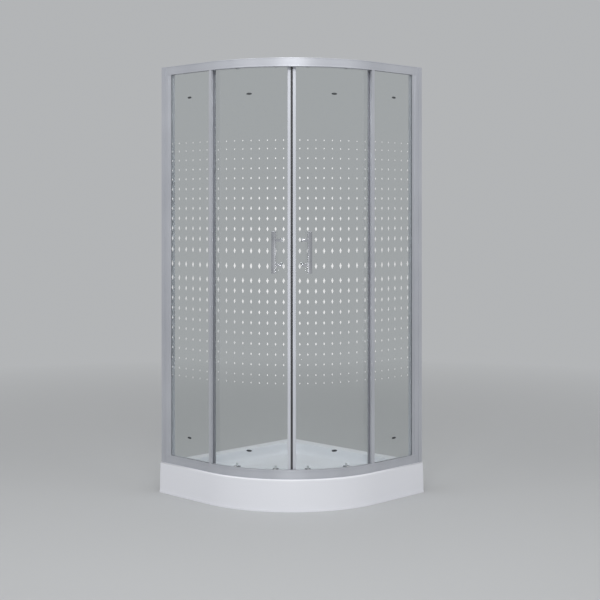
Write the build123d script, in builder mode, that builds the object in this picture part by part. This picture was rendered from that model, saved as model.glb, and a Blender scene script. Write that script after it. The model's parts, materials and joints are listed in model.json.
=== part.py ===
from build123d import *
from math import cos, radians, sin
import os

# A quadrant shower enclosure on a moulded tray. The back corner of the room is at minus x, plus y,
# the curved front faces plus x, minus y, and z = 0 is the floor. The left side, as seen from the
# front, stands against the wall at minus x, and the right side against the wall at plus y.
# An inset is a distance in from the tray's foot line, along the straight sides and the curve alike.

# Overall sizes
tray_side = 900.0
corner_radius = 550.0
tray_height = 145.0
total_height = 2045.0

# Tray
skirt_draft = 6.0
skirt_wall = 5.0
rim_round = 8.0
back_rim = 58.0
front_rim = 66.0
basin_draft = 12.0
basin_floor = 92.0
drain_seat = 84.0
dish_radius = 290.0
tray_underside = 78.0
basin_corner = 70.0
basin_back_corner = 130.0
basin_foot_round = 30.0
basin_mouth_round = 5.0
drain_step = 1.0
back_flange = 45.0
skirt_lip = 2.0
skirt_lip_height = 9.0

# Rails: one bent extrusion, used upright at the bottom and turned over at the top
frame_inset = 14.0
rail_height = 40.0
rail_depth = 38.0
rail_plate = 2.0
rail_wall = 1.4
rail_relief = 0.8
rail_lip = 7.0
rail_foot_band = 3.0
rail_groove_width = 1.4
rail_groove_depth = 0.4
ledge_width = 12.0
ledge_thickness = 1.8

# Glass
pane_thickness = 5.0
pane_gasket = 1.2
pane_end_gap = 2.0
pane_bite = 11.0
door_glass_thickness = 5.0
door_glass_bottom_gap = 7.0
door_glass_top_gap = 3.0

# Wall channels and jambs
channel_width = 24.0
channel_wall = 1.4
jamb_reach = 70.0
jamb_step_reach = 52.0
jamb_step = 1.0
rail_end_reach = 36.0
jamb_depth = 26.0
jamb_gap_to_wall = 5.0
slide_fit = 0.2

# Uprights at the free edge of the fixed panes, measured from the end of the straight side
upright_before = 8.0
upright_after = 9.0
upright_wall = 1.6
upright_hook = 13.0
hook_gap = 2.0

# Sliding doors, angles measured round the curve from the end of the straight side
door_travel_angle = 23.8
swing_side = 25.0
swing_back = 48.0
track_wander = 5.0
running_gap = 0.3
meeting_angle = 45.0
glass_lead_angle = 44.0
stile_outer_angle = 44.45
stile_inner_angle = 42.85
glass_trail_angle = -2.7
trail_profile_end = -2.9
trail_profile_start = 0.1
glass_edge_gap = 0.05
profile_wall = 1.8
glue_gap = 0.2
seal_gap = 0.15
hook_reach = 14.0
overlap_seal_width = 3.0
sweep_bottom_gap = 3.4
sweep_top_gap = 12.5
sweep_side = 1.0
sweep_end_gap = 0.1

# Rollers
lead_roller_angle = 36.5
trail_roller_angle = 14.5
wheel_radius = 9.0
flange_radius = 11.5
flange_width = 2.0
flange_gap = 0.5
axle_radius = 3.0
axle_fit = 0.05
axle_head_radius = 5.0
axle_head_width = 1.4
wheel_recess = 2.0
wheel_chamfer = 0.5
wheel_to_glass = 2.0
washer_width = 1.5
top_hole_radius = 7.0
top_cap_radius = 13.0
top_cap_width = 12.0
top_cap_draft = 4.0
top_washer_radius = 10.0
boss_fit = 0.2
button_travel = 6.0
lower_hole_radius = 10.0
lower_washer_radius = 12.0
housing_width = 26.0
housing_depth = 16.0
housing_wall = 1.7
housing_corner = 3.0
slider_width = 12.0
slider_height = 13.0
slider_fit = 0.25
button_radius = 5.0
button_proud = 12.5
spring_radius = 2.3
spring_bore = 2.7
spring_wire = 0.8
spring_bore_depth = 11.0
housing_head = 4.5
cap_gap = 0.3

# Handles
handle_angle = 39.5
handle_height = 1166.5
handle_spacing = 111.0
handle_length = 192.0
handle_width = 20.0
handle_thickness = 9.0
handle_standoff = 41.0
handle_offset = 30.0
arm_height = 13.0
arm_thickness = 7.0
post_radius = 7.0
handle_hole_radius = 4.0
handle_screw_radius = 2.5
handle_cap_radius = 9.0
handle_cap_width = 6.0
handle_gap = 0.1
grip_corner = 3.0
grip_edge_round = 2.0
screw_bite = 10.0
screw_hole_fit = 0.1

# Frame screws and stops
screw_radius = 1.75
screw_head_radius = 3.5
screw_head_width = 2.2
post_hole_depth = 13.0
wall_screw_radius = 2.75
screw_edge = 100.0
jamb_screw_edge = 200.0
jamb_screw_reach = 16.0
end_block_width = 24.0
end_block_overhang = 7.0
stop_length = 12.0
stop_height = 13.0
stop_gap = 1.0

# Support under the tray
board_thickness = 12.0
board_inset = 110.0
tube_size = 25.0
tube_wall = 2.0
frame_left = -280.0
frame_right = 180.0
frame_back = 280.0
frame_front = -120.0
frame_rear = 385.0
frame_left_front = -340.0
frame_right_front = -210.0
pipe_gap = 120.0
foot_inset = 37.0
foot_pad_draft = 25.0
foot_rod_reach = 17.5
foot_rod_radius = 5.0
foot_pad_radius = 20.0
foot_pad_height = 9.0
foot_nut_size = 17.0
foot_nut_height = 8.0

# Waste
drain_hole_radius = 45.0
drain_seat_radius = 60.0
drain_clearance = 2.0
waste_flange_radius = 57.0
waste_flange_height = 2.5
flange_bevel = 1.0
waste_throat_radius = 41.0
throat_depth = 10.0
throat_wall = 2.4
throat_lip = 2.0
throat_lip_gap = 0.6
waste_body_radius = 55.0
waste_wall = 2.5
waste_bottom = 9.0
body_rim = 3.0
gasket_thickness = 2.0
outlet_radius = 20.0
outlet_collar_radius = 22.5
outlet_collar_end = 72.0
outlet_length = 115.0
outlet_height = 32.0
cup_radius = 38.0
cup_wall = 1.8
cup_lift = 10.0
cup_brim_gap = 0.4
grate_rings = ((26.6, 12, 3.5), (15.2, 6, 3.0))
cover_radius = 55.0
cover_rise = 6.5
cover_gap = 4.0
cover_rim_depth = 1.2
cover_rim_width = 10.0
cover_stem_radius = 6.0
cover_foot_radius = 3.0
cover_foot_place = 46.0
cover_weld = 0.5

# Sizes that follow
half = tray_side / 2
centre_x = half - corner_radius
centre_y = corner_radius - half
diagonal = Plane(origin=(0, 0, 0), x_dir=(1, -1, 0), z_dir=(1, 1, 0))
arc_axis = Axis((centre_x, centre_y, 0), (0, 0, 1))
pocket_start = frame_inset + rail_relief + rail_wall
pane_start = pocket_start + pane_gasket
pane_end = pane_start + pane_thickness
pocket_end = pane_end + pane_gasket
track_start = pocket_end + rail_wall
screw_hole_radius = screw_radius + slide_fit
ledge_end = track_start + ledge_width
wheel_start = track_start + track_wander + 2 * running_gap
flange_start = ledge_end + track_wander + flange_gap
wheel_end = flange_start + flange_width
glass_start = wheel_end + wheel_to_glass
glass_end = glass_start + door_glass_thickness
plate_end = frame_inset + rail_depth
rail_start_x = -half + rail_end_reach
bottom_rail_top = tray_height + rail_height
top_rail_bottom = total_height - rail_height
glass_bottom = tray_height + door_glass_bottom_gap
glass_top = total_height - rail_plate - door_glass_top_gap
top_axle_z = top_rail_bottom + ledge_thickness + running_gap + wheel_radius
lower_axle_z = bottom_rail_top - ledge_thickness - running_gap - wheel_radius
lower_hole_z = lower_axle_z - button_travel / 2
middle_z = (tray_height + total_height) / 2
wall_screw_heights = (tray_height + screw_edge, middle_z, total_height - screw_edge)
jamb_screw_heights = (tray_height + jamb_screw_edge, middle_z, total_height - jamb_screw_edge)
os.makedirs("parts", exist_ok=True)


def radius_at(inset):
    """Radius of the curve at an inset."""
    return corner_radius - inset


def radial_plane(angle, inset, z):
    """A plane square to the curve, with x along it, y up and z outwards."""
    a = radians(angle)
    r = radius_at(inset)
    place = (centre_x + r * sin(a), centre_y - r * cos(a), z)
    return Plane(origin=place, x_dir=(cos(a), sin(a), 0), z_dir=(sin(a), -cos(a), 0))


def quadrant(front, back, z):
    """Outline of the tray at an inset from its front and from the walls."""
    left = -half + back
    rear = half - back
    near = -half + front
    far = half - front
    with BuildSketch(Plane.XY.offset(z)) as outline:
        with BuildLine():
            Line((left, rear), (left, near))
            Line((left, near), (centre_x, near))
            CenterArc((centre_x, centre_y), radius_at(front), -90, 90)
            Line((far, centre_y), (far, rear))
            Line((far, rear), (left, rear))
        make_face()
    return outline.sketch


def curved_band(first_inset, last_inset, first_angle, last_angle, z):
    """Plan of a piece that follows the curve of the doors."""
    with BuildSketch(Plane.XY.offset(z)) as band:
        with BuildLine():
            place = (centre_x, centre_y)
            sweep_angle = last_angle - first_angle
            outer = CenterArc(place, radius_at(first_inset), first_angle - 90, sweep_angle)
            inner = CenterArc(place, radius_at(last_inset), first_angle - 90, sweep_angle)
            Line(outer @ 0, inner @ 0)
            Line(outer @ 1, inner @ 1)
        make_face()
    return band.sketch


def side_box(first_x, last_x, first_inset, last_inset, z):
    """Plan rectangle on the left straight side, x measured from the wall."""
    low = (-half + first_x, -half + first_inset)
    high = (-half + last_x, -half + last_inset)
    middle = ((low[0] + high[0]) / 2, (low[1] + high[1]) / 2)
    with BuildSketch(Plane.XY.offset(z)) as box:
        with Locations(middle):
            Rectangle(high[0] - low[0], high[1] - low[1])
    return box.sketch


def save(piece, name):
    """Label a piece and write its file."""
    piece.part.label = name
    export_step(piece.part, "parts/" + name + ".step")


def save_pair(piece, name):
    """Write a left piece, and its right twin mirrored in the plane through the room's corner."""
    save(piece, "left_" + name)
    with BuildPart() as twin:
        mirror(piece.part, about=diagonal)
    save(twin, "right_" + name)


# Shower tray: a tapered shell with a deep front skirt, a basin that falls to the drain, and short
# flanges along the walls
def basin_solid(grow, floor):
    """The basin's space, or with a positive grow the shell round it."""
    left = -half + back_rim - grow
    rear = half - back_rim + grow
    with BuildPart() as basin:
        with BuildSketch(Plane.XY.offset(tray_height)) as mouth:
            add(quadrant(front_rim - grow, back_rim - grow, 0))
            corners = mouth.vertices()
            ends = [c for c in corners if c.X < left + 1 and c.Y < rear - 1]
            ends += [c for c in corners if c.Y > rear - 1 and c.X > left + 1]
            fillet(ends, basin_corner + grow)
            fillet(mouth.vertices().sort_by(Axis.X)[0:2].sort_by(Axis.Y)[-1], basin_back_corner + grow)
        extrude(amount=floor - tray_height, taper=basin_draft)
        fillet(basin.faces().sort_by(Axis.Z)[0].edges(), basin_foot_round)
    return basin.part


with BuildPart() as shower_tray:
    loft([quadrant(skirt_lip, 0, 0), quadrant(skirt_draft, 0, tray_height)], ruled=True)
    top_face = shower_tray.faces().sort_by(Axis.Z)[-1]
    front_edges = [e for e in top_face.edges() if e.center().X > 1 - half and e.center().Y < half - 1]
    fillet(front_edges, rim_round)
    extrude(quadrant(0, 0, 0), amount=skirt_lip_height)
    hollow_foot = quadrant(skirt_wall + skirt_lip, skirt_wall, 0)
    hollow_head = quadrant(skirt_wall + skirt_draft, skirt_wall, tray_height - skirt_wall)
    loft([hollow_foot, hollow_head], ruled=True, mode=Mode.SUBTRACT)
    open_back = tray_height - back_flange
    extrude(side_box(0, skirt_wall, 3 * skirt_wall, tray_side, 0), amount=open_back, mode=Mode.SUBTRACT)
    rear_opening = side_box(0, tray_side - 3 * skirt_wall, tray_side - skirt_wall, tray_side, 0)
    extrude(rear_opening, amount=open_back, mode=Mode.SUBTRACT)
    add(basin_solid(skirt_wall, tray_underside))
    add(basin_solid(0, basin_floor), mode=Mode.SUBTRACT)
    rim = shower_tray.faces().sort_by(Axis.Z)[-1]
    fillet(rim.inner_wires()[0].edges(), basin_mouth_round)
    with BuildSketch(Plane.XZ):
        with BuildLine():
            Polyline(
                (0, drain_seat),
                (drain_seat_radius, drain_seat),
                (drain_seat_radius, drain_seat + drain_step),
                (dish_radius, basin_floor),
                (dish_radius, basin_floor + drain_step),
                (0, basin_floor + drain_step),
                close=True,
            )
        make_face()
    revolve(axis=Axis.Z, mode=Mode.SUBTRACT)
    with BuildSketch(Plane.XY.offset(drain_seat)):
        Circle(drain_hole_radius)
    extrude(amount=tray_underside - drain_seat, mode=Mode.SUBTRACT)
save(shower_tray, "shower_tray")


# Rails, with a groove under the lip and over the foot of the main band
groove_inset = frame_inset + rail_relief + rail_groove_depth
rail_profile = [
    (frame_inset, 0),
    (plate_end, 0),
    (plate_end, rail_plate),
    (track_start, rail_plate),
    (track_start, rail_height - ledge_thickness),
    (ledge_end, rail_height - ledge_thickness),
    (ledge_end, rail_height),
    (pocket_end, rail_height),
    (pocket_end, rail_plate),
    (pocket_start, rail_plate),
    (pocket_start, rail_height),
    (frame_inset, rail_height),
    (frame_inset, rail_height - rail_lip),
    (groove_inset, rail_height - rail_lip),
    (groove_inset, rail_height - rail_lip - rail_groove_width),
    (frame_inset + rail_relief, rail_height - rail_lip - rail_groove_width),
    (frame_inset + rail_relief, rail_foot_band + rail_groove_width),
    (groove_inset, rail_foot_band + rail_groove_width),
    (groove_inset, rail_foot_band),
    (frame_inset, rail_foot_band),
]


def rail_section(x, base, up):
    """The rail's section across the left straight side, standing up or turned over."""
    with BuildSketch(Plane(origin=(x, -half, base), x_dir=(0, 1, 0), z_dir=(1, 0, 0))) as section:
        with BuildLine():
            Polyline(*[(inset, up * height) for inset, height in rail_profile], close=True)
        make_face()
    return section.sketch


def bent_rail(base, up):
    with BuildPart() as rail:
        extrude(rail_section(rail_start_x, base, up), amount=centre_x - rail_start_x)
        revolve(rail_section(centre_x, base, up), axis=arc_axis, revolution_arc=meeting_angle)
        hole = side_disc(end_screw_x, base + up * rail_height / 2, screw_hole_radius, track_start + 1)
        extrude(hole, amount=rail_wall + 2, mode=Mode.SUBTRACT)
        mirror(about=diagonal)
    return rail


def side_disc(x, z, radius, inset):
    """A disc square to the left straight side, facing out."""
    with BuildSketch(Plane(origin=(x, -half + inset, z), x_dir=(1, 0, 0), z_dir=(0, -1, 0))) as disc:
        Circle(radius)
    return disc.sketch


end_screw_x = rail_start_x + end_block_width / 2
bottom_rail = bent_rail(tray_height, 1)
save(bottom_rail, "bottom_rail")
top_rail = bent_rail(total_height, -1)
save(top_rail, "top_rail")

# Wall channel: a U on the wall, with screw holes through its back
channel_start = frame_inset - channel_wall
channel_end = frame_inset + slide_fit + jamb_depth + slide_fit + channel_wall
frame_height = total_height - tray_height
with BuildPart() as wall_channel:
    extrude(side_box(0, channel_width, channel_start, channel_end, tray_height), amount=frame_height)
    inside = side_box(channel_wall, channel_width, frame_inset, channel_end - channel_wall, tray_height)
    extrude(inside, amount=frame_height, mode=Mode.SUBTRACT)
    middle_inset = (channel_start + channel_end) / 2
    for z in wall_screw_heights:
        with BuildSketch(Plane(origin=(-half, -half + middle_inset, z), x_dir=(0, 1, 0), z_dir=(1, 0, 0))):
            Circle(wall_screw_radius)
        extrude(amount=channel_wall, mode=Mode.SUBTRACT)
    for z in jamb_screw_heights:
        hole = side_disc(-half + jamb_screw_reach, z, screw_hole_radius, channel_end)
        extrude(hole, amount=channel_wall, mode=Mode.SUBTRACT)
save_pair(wall_channel, "wall_channel")

# Jamb: a hollow extrusion that slides in the wall channel, with a pocket for the pane. Its ends are
# cut back where the rails meet it.
jamb_start = frame_inset + slide_fit
jamb_end = jamb_start + jamb_depth
inner_front = jamb_start + channel_wall
inner_back = jamb_end - channel_wall
jamb_web = jamb_step_reach - channel_wall
jamb_pocket = jamb_reach - pane_bite - pane_end_gap
with BuildPart() as jamb:
    extrude(side_box(jamb_gap_to_wall, jamb_reach, jamb_start, jamb_end, tray_height), amount=frame_height)
    step = side_box(jamb_step_reach, jamb_reach, jamb_start, jamb_start + jamb_step, tray_height)
    extrude(step, amount=frame_height, mode=Mode.SUBTRACT)
    hollow = side_box(jamb_gap_to_wall + channel_wall, jamb_web, inner_front, inner_back, tray_height)
    extrude(hollow, amount=frame_height, mode=Mode.SUBTRACT)
    back_hollow = side_box(jamb_step_reach, jamb_reach - channel_wall, track_start, inner_back, tray_height)
    extrude(back_hollow, amount=frame_height, mode=Mode.SUBTRACT)
    pocket = side_box(jamb_pocket, jamb_reach, pocket_start, pocket_end, tray_height)
    extrude(pocket, amount=frame_height, mode=Mode.SUBTRACT)
    for z in (tray_height, top_rail_bottom):
        notch = side_box(rail_end_reach, jamb_reach, 0, jamb_end + 1, z)
        extrude(notch, amount=rail_height, mode=Mode.SUBTRACT)
    for z in jamb_screw_heights:
        hole = side_disc(-half + jamb_screw_reach, z, screw_hole_radius, jamb_end)
        extrude(hole, amount=channel_wall, mode=Mode.SUBTRACT)
save_pair(jamb, "jamb")

# Fixed pane, and the gaskets that hold it in the rails
pane_left = -half + jamb_reach - pane_bite
pane_right = centre_x - upright_before + pane_bite - pane_end_gap
pane_bottom = tray_height + rail_plate + pane_end_gap
pane_top = total_height - rail_plate - pane_end_gap
with BuildPart() as fixed_glass:
    plan = side_box(half + pane_left, half + pane_right, pane_start, pane_end, pane_bottom)
    extrude(plan, amount=pane_top - pane_bottom)
save_pair(fixed_glass, "fixed_glass")

gasket_left = -half + jamb_reach
gasket_right = centre_x - upright_before
with BuildPart() as glazing_gaskets:
    gasket_height = rail_height - rail_plate - pane_end_gap
    for first, last in ((pocket_start, pane_start), (pane_end, pocket_end)):
        for z in (pane_bottom, top_rail_bottom):
            strip = side_box(half + gasket_left, half + gasket_right, first, last, z)
            extrude(strip, amount=gasket_height)
    mirror(about=diagonal)
save(glazing_gaskets, "glazing_gaskets")

# Upright at the free edge of the pane, with a hook that the door's trailing edge closes against
upright_left = half + centre_x - upright_before
upright_right = half + centre_x + upright_after
upright_start = pocket_start - upright_wall
upright_end = pocket_end + upright_wall
upright_height = top_rail_bottom - bottom_rail_top
hook_z = bottom_rail_top + hook_gap
hook_height = upright_height - 2 * hook_gap
hook_end = upright_end + upright_hook
with BuildPart() as pane_upright:
    bar = side_box(upright_left, upright_right, upright_start, upright_end, bottom_rail_top)
    extrude(bar, amount=upright_height)
    slot_end = upright_left + pane_bite
    slot = side_box(upright_left, slot_end, pocket_start, pocket_end, bottom_rail_top)
    extrude(slot, amount=upright_height, mode=Mode.SUBTRACT)
    void_start = slot_end + upright_wall
    void = side_box(void_start, upright_right - upright_wall, pocket_start, pocket_end, bottom_rail_top)
    extrude(void, amount=upright_height, mode=Mode.SUBTRACT)
    hook = side_box(upright_left, upright_left + upright_wall, upright_end, hook_end, hook_z)
    extrude(hook, amount=hook_height)
save_pair(pane_upright, "pane_upright")

# Rail end blocks, in the open channel of both rails where they meet the jambs
block_end = track_start + ledge_width + end_block_overhang
block_depth = block_end - track_start
with BuildPart() as rail_end_blocks:
    block_height = rail_height - rail_plate - ledge_thickness - slide_fit
    for base, up in ((tray_height + rail_plate, 1), (total_height - rail_plate, -1)):
        block = side_box(rail_end_reach, rail_end_reach + end_block_width, track_start, block_end, base)
        extrude(block, amount=up * block_height)
        screw_z = base - up * rail_plate + up * rail_height / 2
        hole = side_disc(end_screw_x, screw_z, screw_hole_radius, block_end)
        extrude(hole, amount=block_depth, mode=Mode.SUBTRACT)
    mirror(about=diagonal)
save(rail_end_blocks, "rail_end_blocks")


# Screws, all alike but for their length: pan head and plain shank, driven from inside the cabin
def frame_screw(x, z, seat_inset, length):
    extrude(side_disc(x, z, screw_radius, seat_inset), amount=length)
    extrude(side_disc(x, z, screw_head_radius, seat_inset + screw_head_width), amount=screw_head_width)


with BuildPart() as frame_screws:
    for z in jamb_screw_heights:
        frame_screw(-half + jamb_screw_reach, z, channel_end, 3 * channel_wall)
    for z in (tray_height + rail_height / 2, total_height - rail_height / 2):
        frame_screw(end_screw_x, z, block_end, block_depth + rail_wall)
    mirror(about=diagonal)
save(frame_screws, "frame_screws")

# Sliding door. It turns about a point behind the curve's centre, which keeps both rollers within a
# few millimetres of the bent rail from shut to open.
swing_x = centre_x - swing_side
swing_y = centre_y + swing_back


def opened(angle, inset):
    """Where a point of the door lies in plan when the door is fully open."""
    r = radius_at(inset)
    dx = centre_x + r * sin(radians(angle)) - swing_x
    dy = centre_y - r * cos(radians(angle)) - swing_y
    turn = radians(-door_travel_angle)
    return (swing_x + dx * cos(turn) - dy * sin(turn), swing_y + dx * sin(turn) + dy * cos(turn))


def radial_disc(angle, z, radius, inset):
    """A disc square to the curve, facing out."""
    with BuildSketch(radial_plane(angle, inset, z)) as disc:
        Circle(radius)
    return disc.sketch


roller_angles = {"leading": lead_roller_angle, "trailing": trail_roller_angle}
handle_heights = (handle_height - handle_spacing / 2, handle_height + handle_spacing / 2)
profile_start = glass_start - glue_gap - profile_wall
profile_end = glass_end + glue_gap + profile_wall
slot_start = glass_start - glue_gap
slot_end_inset = glass_end + glue_gap
door_height = glass_top - glass_bottom

with BuildPart() as door_glass:
    plan = curved_band(glass_start, glass_end, glass_trail_angle, glass_lead_angle, glass_bottom)
    extrude(plan, amount=door_height)
    through = door_glass_thickness + 2
    for angle in roller_angles.values():
        hole = radial_disc(angle, top_axle_z, top_hole_radius, glass_end + 1)
        extrude(hole, amount=through, mode=Mode.SUBTRACT)
        hole = radial_disc(angle, lower_hole_z, lower_hole_radius, glass_end + 1)
        extrude(hole, amount=through, mode=Mode.SUBTRACT)
    for z in handle_heights:
        hole = radial_disc(handle_angle, z, handle_hole_radius, glass_end + 1)
        extrude(hole, amount=through, mode=Mode.SUBTRACT)
save_pair(door_glass, "door_glass")

with BuildPart() as door_stile:
    plan = curved_band(profile_start, profile_end, stile_inner_angle, stile_outer_angle, glass_bottom)
    extrude(plan, amount=door_height)
    slot_lead = glass_lead_angle + glass_edge_gap
    slot = curved_band(slot_start, slot_end_inset, stile_inner_angle - 1, slot_lead, glass_bottom)
    extrude(slot, amount=door_height, mode=Mode.SUBTRACT)
save_pair(door_stile, "door_stile")

seal_angle = meeting_angle - seal_gap / radians(1) / radius_at(glass_end)
with BuildPart() as magnetic_seal:
    plan = curved_band(glass_start, glass_end, stile_outer_angle, seal_angle, glass_bottom)
    extrude(plan, amount=door_height)
save_pair(magnetic_seal, "magnetic_seal")

seal_face_x = upright_left - seal_gap * 2
hook_face_x = seal_face_x - overlap_seal_width
with BuildPart() as trailing_profile:
    plan = curved_band(profile_start, profile_end, trail_profile_end, trail_profile_start, glass_bottom)
    extrude(plan, amount=door_height)
    slot_trail = glass_trail_angle - glass_edge_gap
    slot = curved_band(slot_start, slot_end_inset, slot_trail, trail_profile_start + 1, glass_bottom)
    extrude(slot, amount=door_height, mode=Mode.SUBTRACT)
    hook_front = profile_start - hook_reach
    hook_back = profile_start + profile_wall / 2
    hook = side_box(hook_face_x - profile_wall, hook_face_x, hook_front, hook_back, hook_z)
    extrude(hook, amount=hook_height)
save_pair(trailing_profile, "trailing_profile")

with BuildPart() as overlap_seal:
    plan = side_box(hook_face_x, seal_face_x, hook_end - hook_reach / 2, hook_end - 1, hook_z)
    extrude(plan, amount=hook_height)
save_pair(overlap_seal, "overlap_seal")

with BuildPart() as bottom_sweep:
    first = trail_profile_start + sweep_end_gap
    last = stile_inner_angle - sweep_end_gap
    low = tray_height + sweep_bottom_gap
    high = tray_height + sweep_top_gap
    plan = curved_band(slot_start - sweep_side, slot_end_inset + sweep_side, first, last, low)
    extrude(plan, amount=high - low)
    slot = curved_band(slot_start, slot_end_inset, first - 1, last + 1, glass_bottom)
    extrude(slot, amount=high - glass_bottom, mode=Mode.SUBTRACT)
save_pair(bottom_sweep, "bottom_sweep")

# Top roller carriers: a cap inside the glass, a boss through it, and the axle with its head
head_inset = wheel_start + running_gap + axle_head_width
with BuildPart() as top_roller_carriers:
    for angle in roller_angles.values():
        cap_inset = glass_end + cap_gap
        cap = radial_disc(angle, top_axle_z, top_cap_radius, cap_inset + top_cap_width)
        extrude(cap, amount=top_cap_width, taper=top_cap_draft)
        boss = radial_disc(angle, top_axle_z, top_hole_radius - boss_fit, cap_inset)
        extrude(boss, amount=cap_inset - glass_start)
        washer = radial_disc(angle, top_axle_z, top_washer_radius, glass_start)
        extrude(washer, amount=washer_width)
        axle = radial_disc(angle, top_axle_z, axle_radius, glass_start)
        extrude(axle, amount=glass_start - head_inset)
        head = radial_disc(angle, top_axle_z, axle_head_radius, head_inset)
        extrude(head, amount=axle_head_width)
save_pair(top_roller_carriers, "top_roller_carriers")

# Lower rollers: a housing inside the glass with a sprung slider. Its button pulls the wheel down.
front_inset = glass_end + cap_gap
pocket_front = front_inset + housing_wall
slider_depth = housing_depth - 3 * housing_wall
pocket_back = pocket_front + slider_depth
pocket_bottom = lower_axle_z - slider_height / 2 - button_travel - slider_fit
pocket_top = lower_axle_z + slider_height / 2 + slider_fit
housing_bottom = pocket_bottom - housing_wall
housing_top = pocket_top + housing_head
spring_inset = (pocket_front + pocket_back) / 2


def upright_block(angle, width, insets, heights, corner=0):
    """A box square to the curve, between two insets and two heights."""
    middle = (heights[0] + heights[1]) / 2
    with BuildSketch(radial_plane(angle, insets[1], middle)) as face:
        if corner:
            RectangleRounded(width, heights[1] - heights[0], corner)
        else:
            Rectangle(width, heights[1] - heights[0])
    return extrude(face.sketch, amount=insets[1] - insets[0], mode=Mode.PRIVATE)


def spring_place(angle):
    """Centre of a roller's spring in plan."""
    plane = radial_plane(angle, spring_inset, 0)
    return (plane.origin.X, plane.origin.Y)


housing_insets = (front_inset, front_inset + housing_depth)
pocket_insets = (pocket_front, pocket_back + 2 * slider_fit)
slot_insets = (glass_start - washer_width - 1, pocket_front + 1)
slot_width = 2 * (axle_radius + slider_fit)
slot_heights = (lower_axle_z - button_travel - slot_width / 2, lower_axle_z + slot_width / 2)
with BuildPart() as lower_roller_housings:
    for angle in roller_angles.values():
        shell_heights = (housing_bottom, housing_top)
        add(upright_block(angle, housing_width, housing_insets, shell_heights, housing_corner))
        boss = radial_disc(angle, lower_hole_z, lower_hole_radius - boss_fit, front_inset)
        extrude(boss, amount=front_inset - glass_start)
        washer = radial_disc(angle, lower_hole_z, lower_washer_radius, glass_start)
        extrude(washer, amount=washer_width)
        pocket_width = slider_width + 2 * slider_fit
        pocket = upright_block(angle, pocket_width, pocket_insets, (pocket_bottom, pocket_top))
        add(pocket, mode=Mode.SUBTRACT)
        add(upright_block(angle, slot_width, slot_insets, slot_heights), mode=Mode.SUBTRACT)
        with BuildSketch(Plane.XY.offset(pocket_top - 1)):
            with Locations(spring_place(angle)):
                Circle(button_radius + slider_fit)
        extrude(amount=housing_head + 2, mode=Mode.SUBTRACT)
save_pair(lower_roller_housings, "lower_roller_housings")

with BuildPart() as roller_springs:
    for angle in roller_angles.values():
        with BuildSketch(Plane.XY.offset(pocket_bottom)):
            with Locations(spring_place(angle)):
                Circle(spring_radius)
                Circle(spring_radius - spring_wire, mode=Mode.SUBTRACT)
        extrude(amount=spring_bore_depth - 2 * slider_fit)
save_pair(roller_springs, "roller_springs")

slider_low = lower_axle_z - slider_height / 2
slider_high = lower_axle_z + slider_height / 2
slider_insets = (pocket_front + slider_fit, pocket_back + slider_fit)
for place, angle in roller_angles.items():
    with BuildPart() as slider:
        add(upright_block(angle, slider_width, slider_insets, (slider_low, slider_high)))
        axle = radial_disc(angle, lower_axle_z, axle_radius, slider_insets[0])
        extrude(axle, amount=slider_insets[0] - head_inset)
        head = radial_disc(angle, lower_axle_z, axle_head_radius, head_inset)
        extrude(head, amount=axle_head_width)
        with BuildSketch(Plane.XY.offset(slider_high)):
            with Locations(spring_place(angle)):
                Circle(button_radius)
        extrude(amount=housing_top + button_proud - slider_high)
        with BuildSketch(Plane.XY.offset(slider_low)):
            with Locations(spring_place(angle)):
                Circle(spring_bore)
        extrude(amount=spring_bore_depth, mode=Mode.SUBTRACT)
    save_pair(slider, place + "_release_slider")


# Roller wheels: a plain tread under or over the ledge, and a flange inside its edge
def roller_wheel(angle, z):
    plane = radial_plane(angle, wheel_end, z)
    side = Plane(origin=plane.origin, x_dir=plane.z_dir, z_dir=plane.x_dir)
    width = wheel_end - wheel_start
    bore = axle_radius + axle_fit
    recess_radius = axle_head_radius + 2 * running_gap
    with BuildPart() as wheel:
        with BuildSketch(side) as section:
            with BuildLine():
                Polyline(
                    (0, bore),
                    (0, flange_radius - wheel_chamfer),
                    (wheel_chamfer, flange_radius),
                    (flange_width, flange_radius),
                    (flange_width, wheel_radius),
                    (width - wheel_chamfer, wheel_radius),
                    (width, wheel_radius - wheel_chamfer),
                    (width, recess_radius),
                    (width - wheel_recess, recess_radius),
                    (width - wheel_recess, bore),
                    close=True,
                )
            make_face()
        revolve(axis=Axis(plane.origin, plane.z_dir))
    return wheel


for place, angle in roller_angles.items():
    save_pair(roller_wheel(angle, top_axle_z), place + "_top_wheel")
    save_pair(roller_wheel(angle, lower_axle_z), place + "_lower_wheel")

# Handle: a flat upright grip on two side arms, with posts to the glass near the door's free edge
grip_back = glass_start - handle_standoff + handle_thickness
post_foot = glass_start - handle_gap
outwards = Axis((0, 0, 0), radial_plane(handle_angle, 0, 0).z_dir)
with BuildPart() as handle:
    with BuildSketch(radial_plane(handle_angle, grip_back, handle_height)):
        with Locations((-handle_offset, 0)):
            RectangleRounded(handle_width, handle_length, grip_corner)
    extrude(amount=handle_thickness)
    fillet(handle.faces().sort_by(outwards)[-1].edges(), grip_edge_round)
    with BuildSketch(radial_plane(handle_angle, grip_back, handle_height)):
        for dz in (-handle_spacing / 2, handle_spacing / 2):
            with Locations((-handle_offset / 2, dz)):
                SlotOverall(handle_offset + arm_height, arm_height)
    extrude(amount=arm_thickness)
    for z in handle_heights:
        extrude(radial_disc(handle_angle, z, post_radius, post_foot), amount=post_foot - grip_back + 1)
        hole = radial_disc(handle_angle, z, handle_screw_radius + screw_hole_fit, post_foot)
        extrude(hole, amount=post_hole_depth, mode=Mode.SUBTRACT)
save_pair(handle, "handle")

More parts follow.
